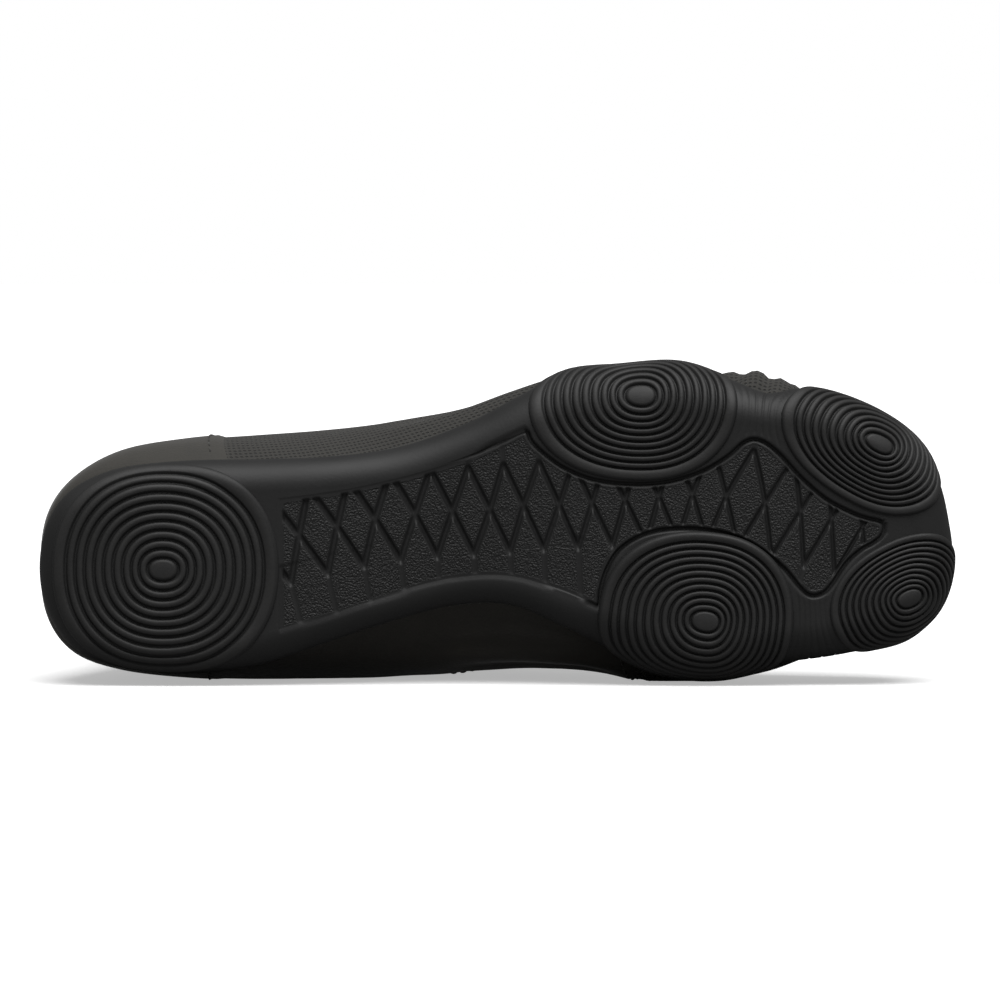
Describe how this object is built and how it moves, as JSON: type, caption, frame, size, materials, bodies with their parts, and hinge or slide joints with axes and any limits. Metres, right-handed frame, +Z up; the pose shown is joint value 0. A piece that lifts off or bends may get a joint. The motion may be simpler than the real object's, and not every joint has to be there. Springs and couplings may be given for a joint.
{
  "type": "wrestling shoe",
  "caption": "Right high-top wrestling shoe lying on its medial side, with a thin rubber cup sole, raised round ring-ribbed tread pods, a hollow cloth upper, tongue and flat lace.",
  "frame": {"origin": "centre of the footprint under the shoe as it lies on its medial side", "axes": "+X from heel to toe, +Z up to the lateral side, the sole faces -Y"},
  "size_m": [0.2804, 0.1664, 0.0996],
  "materials": {
    "sole_rubber": "matt charcoal moulded rubber",
    "upper_cloth": "black mesh cloth",
    "footbed": "dark cloth over foam",
    "tongue_cloth": "padded black cloth",
    "synthetic_overlay": "black synthetic suede",
    "lace_webbing": "flat woven lace",
    "eyelet_metal": "black painted eyelet"
  },
  "bodies": {
    "root": {"outsole": "sole_rubber", "upper": "upper_cloth", "insole": "footbed", "tongue": "tongue_cloth", "eyestay": "synthetic_overlay", "lace": "lace_webbing", "eyelet_lateral_1": "eyelet_metal", "eyelet_lateral_2": "eyelet_metal", "eyelet_lateral_3": "eyelet_metal", "eyelet_lateral_4": "eyelet_metal", "eyelet_lateral_5": "eyelet_metal", "eyelet_lateral_6": "eyelet_metal", "eyelet_medial_1": "eyelet_metal", "eyelet_medial_2": "eyelet_metal", "eyelet_medial_3": "eyelet_metal", "eyelet_medial_4": "eyelet_metal", "eyelet_medial_5": "eyelet_metal", "eyelet_medial_6": "eyelet_metal"}
  },
  "joints": []
}
